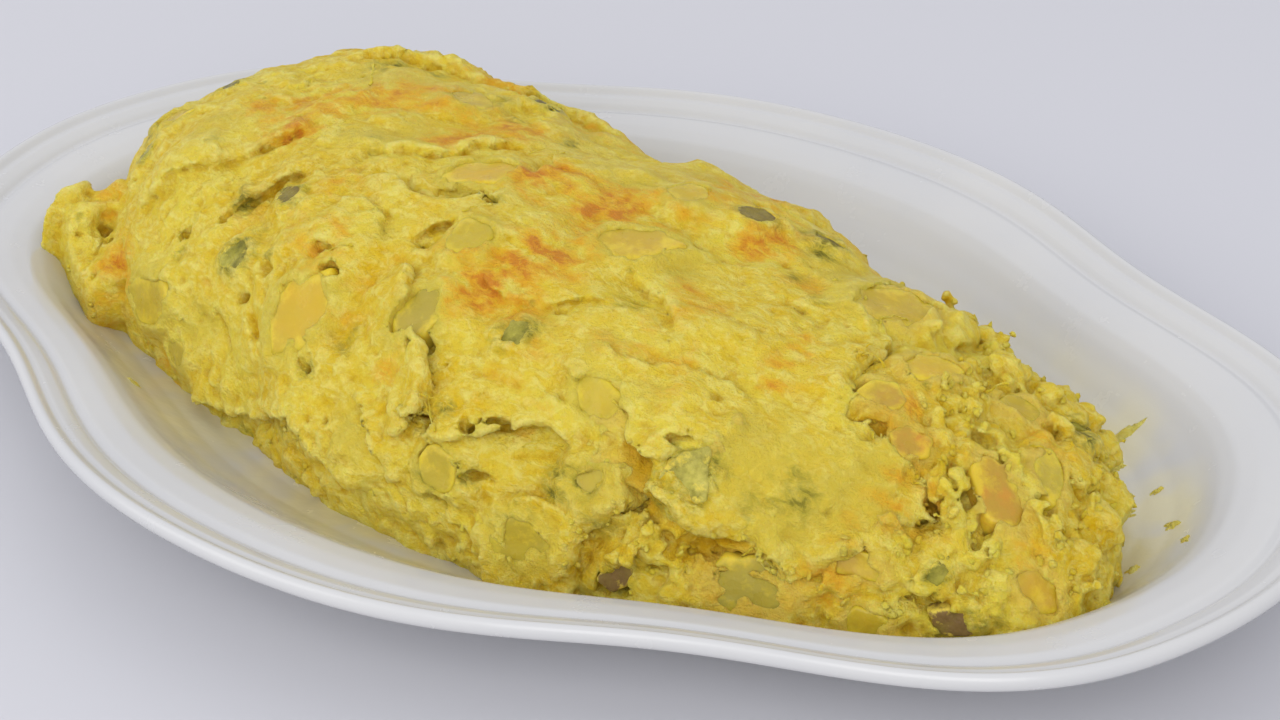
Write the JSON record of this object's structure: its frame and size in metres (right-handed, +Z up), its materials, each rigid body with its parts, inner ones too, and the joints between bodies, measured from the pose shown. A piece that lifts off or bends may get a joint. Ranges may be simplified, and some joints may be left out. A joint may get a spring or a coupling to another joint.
{
  "type": "potato omelette on a platter",
  "caption": "Folded potato and egg omelette with green pepper, torn open at one end, on an oval white platter with a lobed, grooved rim.",
  "frame": {"origin": "on the table under the middle of the platter", "axes": "+X along the platter towards the torn end of the omelette, +Y across it towards the wide free part of the well, +Z up"},
  "size_m": [0.3604, 0.2454, 0.0638],
  "materials": {
    "glaze": "glossy white glaze",
    "egg": "moist set egg",
    "curd": "moist egg and potato filling",
    "potato": "moist cooked potato",
    "pepper": "moist cooked green pepper"
  },
  "bodies": {
    "root": {"egg_skin": "egg", "filling": "curd", "pepper_01": "pepper", "pepper_02": "pepper", "pepper_03": "pepper", "pepper_04": "pepper", "pepper_05": "pepper", "pepper_06": "pepper", "pepper_07": "pepper", "pepper_08": "pepper", "pepper_09": "pepper", "pepper_10": "pepper", "pepper_11": "pepper", "pepper_12": "pepper", "pepper_13": "pepper", "plate": "glaze", "potato_01": "potato", "potato_02": "potato", "potato_03": "potato", "potato_04": "potato", "potato_05": "potato", "potato_06": "potato", "potato_07": "potato", "potato_08": "potato", "potato_09": "potato", "potato_10": "potato", "potato_11": "potato", "potato_12": "potato", "potato_13": "potato", "potato_14": "potato", "potato_15": "potato", "potato_16": "potato", "potato_17": "potato", "potato_18": "potato", "potato_19": "potato", "potato_20": "potato", "potato_21": "potato", "potato_22": "potato", "potato_23": "potato", "potato_24": "potato", "potato_25": "potato"}
  },
  "joints": []
}
